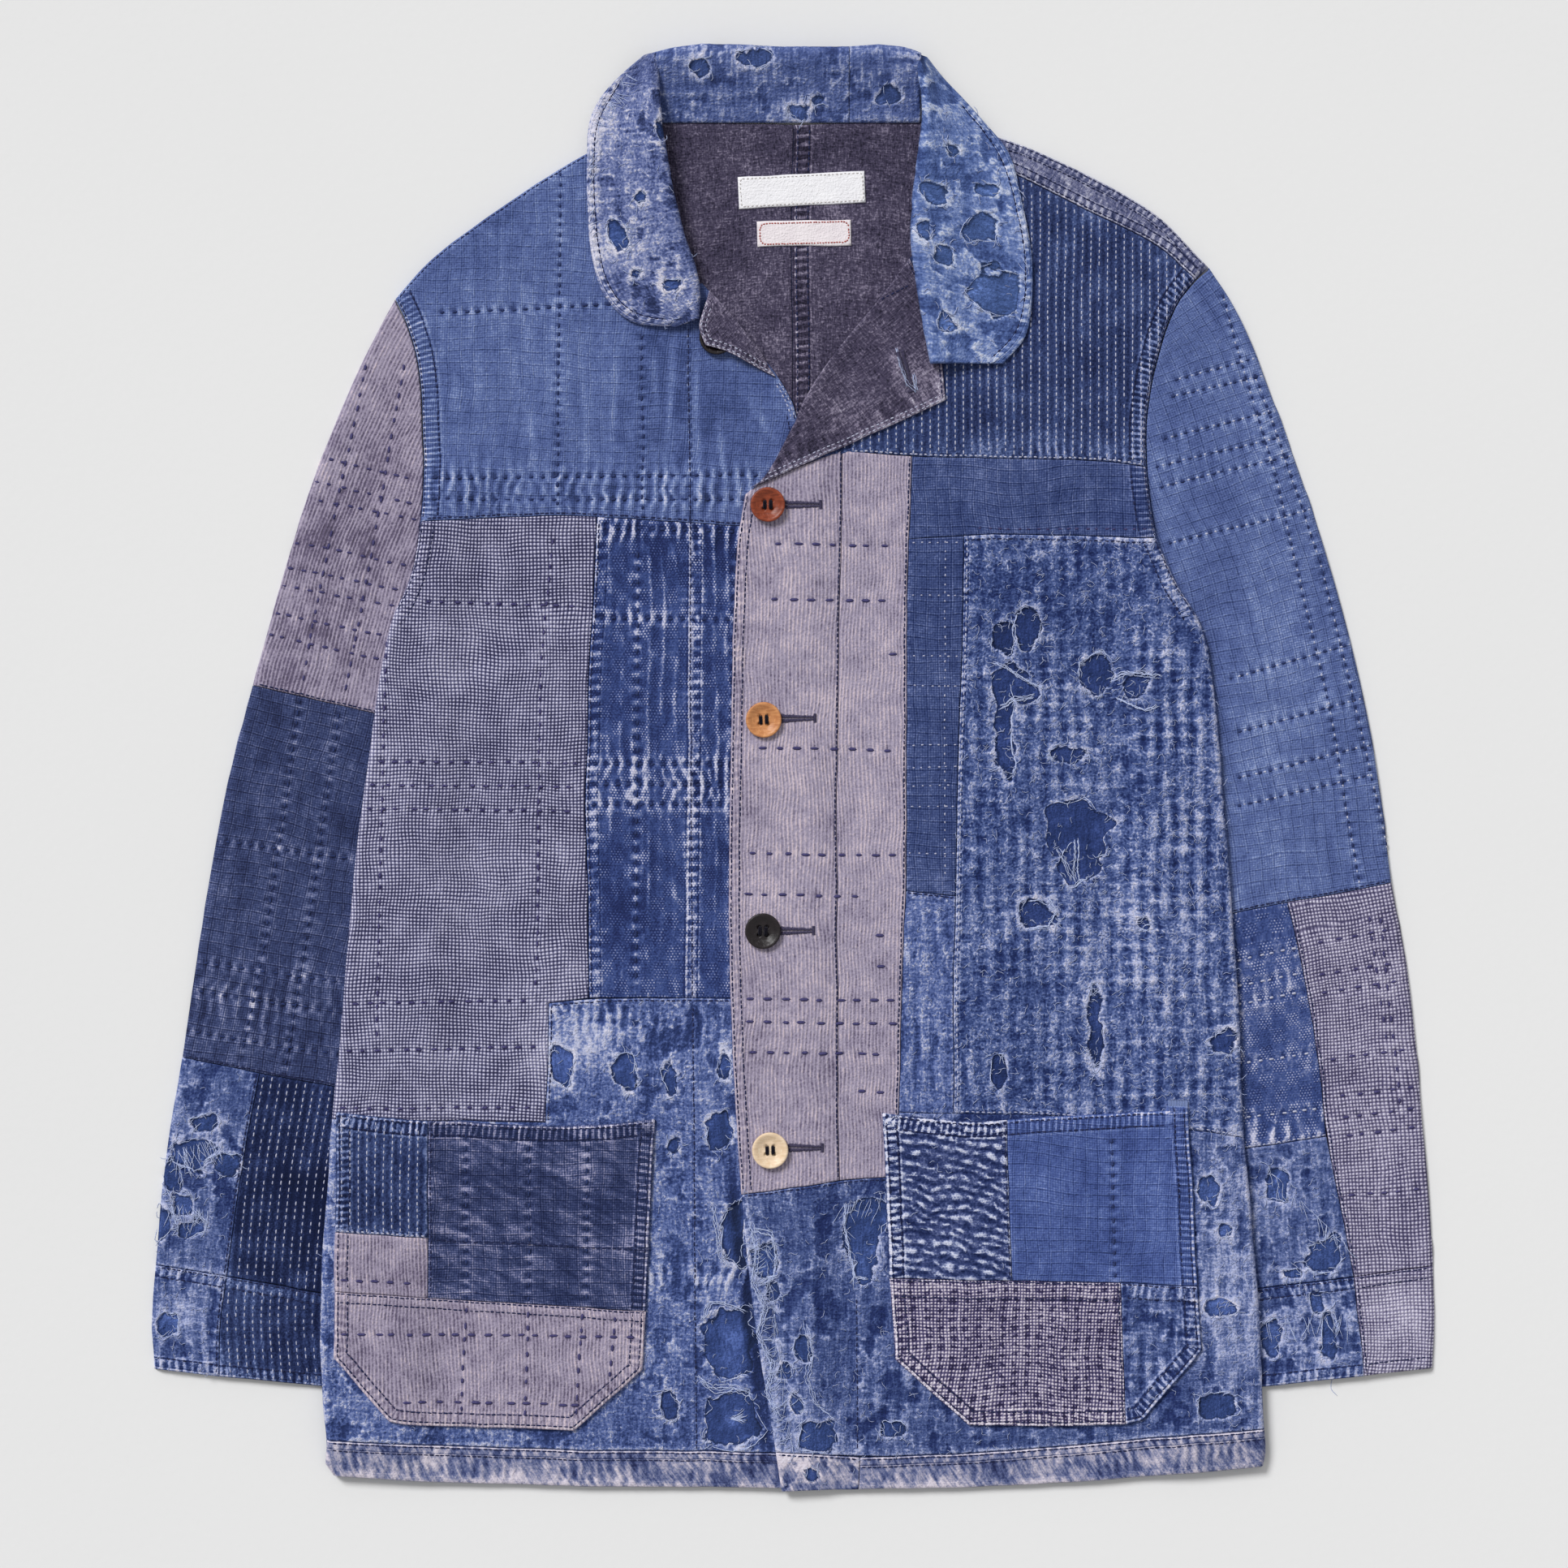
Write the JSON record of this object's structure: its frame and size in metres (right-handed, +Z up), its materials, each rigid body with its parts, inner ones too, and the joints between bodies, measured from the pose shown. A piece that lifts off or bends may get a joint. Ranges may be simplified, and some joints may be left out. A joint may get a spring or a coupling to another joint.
{
  "type": "patched work jacket",
  "caption": "Buttoned cotton work jacket pieced from worn patches, with collar, sleeves and patch pockets, laid flat face up.",
  "frame": {"origin": "on the surface that the jacket lies on, under the middle of its outline", "axes": "+Z up from the surface, +Y from hem to collar, +X towards the wearer's left sleeve"},
  "size_m": [0.6976, 0.784, 0.0165],
  "materials": {
    "ripstop_light": "faded light-blue ripstop cotton with a fine pale grid",
    "ripstop_blue": "mid-blue ripstop cotton",
    "ripstop_dark": "dark indigo ripstop cotton",
    "gingham": "small grey-white and indigo check",
    "gingham_coarse": "coarse cream and dark purple check",
    "dobby": "blue dobby weave in small dotted squares",
    "boro_light": "pale worn indigo patching, frayed",
    "boro": "worn indigo patching with holes over darker cloth",
    "boro_deep": "deep indigo patching with dense running stitches",
    "sashiko": "navy cotton with rows of white running stitch",
    "stripe": "grey-lavender cotton with fine paler stripes",
    "slate": "slate-blue cotton, faded at its seam",
    "charcoal": "charcoal chambray",
    "hem": "pale puckered indigo hem",
    "label": "plain woven tape",
    "button_brown": "brown, polished",
    "button_tan": "tan, polished",
    "button_dark": "near black, polished",
    "button_cream": "cream, polished"
  },
  "bodies": {
    "root": {"back_panel": "ripstop_blue", "back_lining_right": "charcoal", "back_lining_left": "charcoal", "right_front_upper": "ripstop_light", "right_front_gingham": "gingham", "right_front_dobby": "dobby", "right_front_lower": "boro_light", "right_front_hem": "hem", "right_lapel": "charcoal", "right_pocket_sashiko": "sashiko", "right_pocket_ripstop": "ripstop_dark", "right_pocket_stripe_upper": "stripe", "right_pocket_stripe_lower": "stripe", "left_front_yoke": "sashiko", "left_shoulder_band": "slate", "left_placket_edge": "stripe", "left_placket_inner": "stripe", "left_front_ripstop_top": "ripstop_blue", "left_front_ripstop_side": "ripstop_blue", "left_front_worn_strip": "boro_light", "left_front_boro": "boro_deep", "left_front_lower": "boro", "left_front_hem": "hem", "left_hem_end": "stripe", "left_lapel": "charcoal", "left_pocket_checker": "sashiko", "left_pocket_ripstop": "ripstop_blue", "left_pocket_gingham": "gingham_coarse", "left_pocket_boro": "boro", "collar_back_right": "boro_light", "collar_back_left": "boro_light", "collar_wing_right": "boro_light", "collar_wing_left": "boro_light", "right_sleeve_upper": "stripe", "right_sleeve_middle": "ripstop_dark", "right_sleeve_boro": "boro", "right_sleeve_sashiko": "sashiko", "right_cuff_boro": "boro", "right_cuff_sashiko": "sashiko", "left_sleeve_upper": "ripstop_light", "left_sleeve_dobby": "dobby", "left_sleeve_boro": "boro_light", "left_sleeve_gingham": "gingham", "left_cuff_boro": "boro_light", "left_cuff_gingham": "gingham", "label_main": "label", "label_small": "label", "button_1": "button_brown", "button_2": "button_tan", "button_3": "button_dark", "button_4": "button_cream", "button_5": "button_dark"}
  },
  "joints": []
}
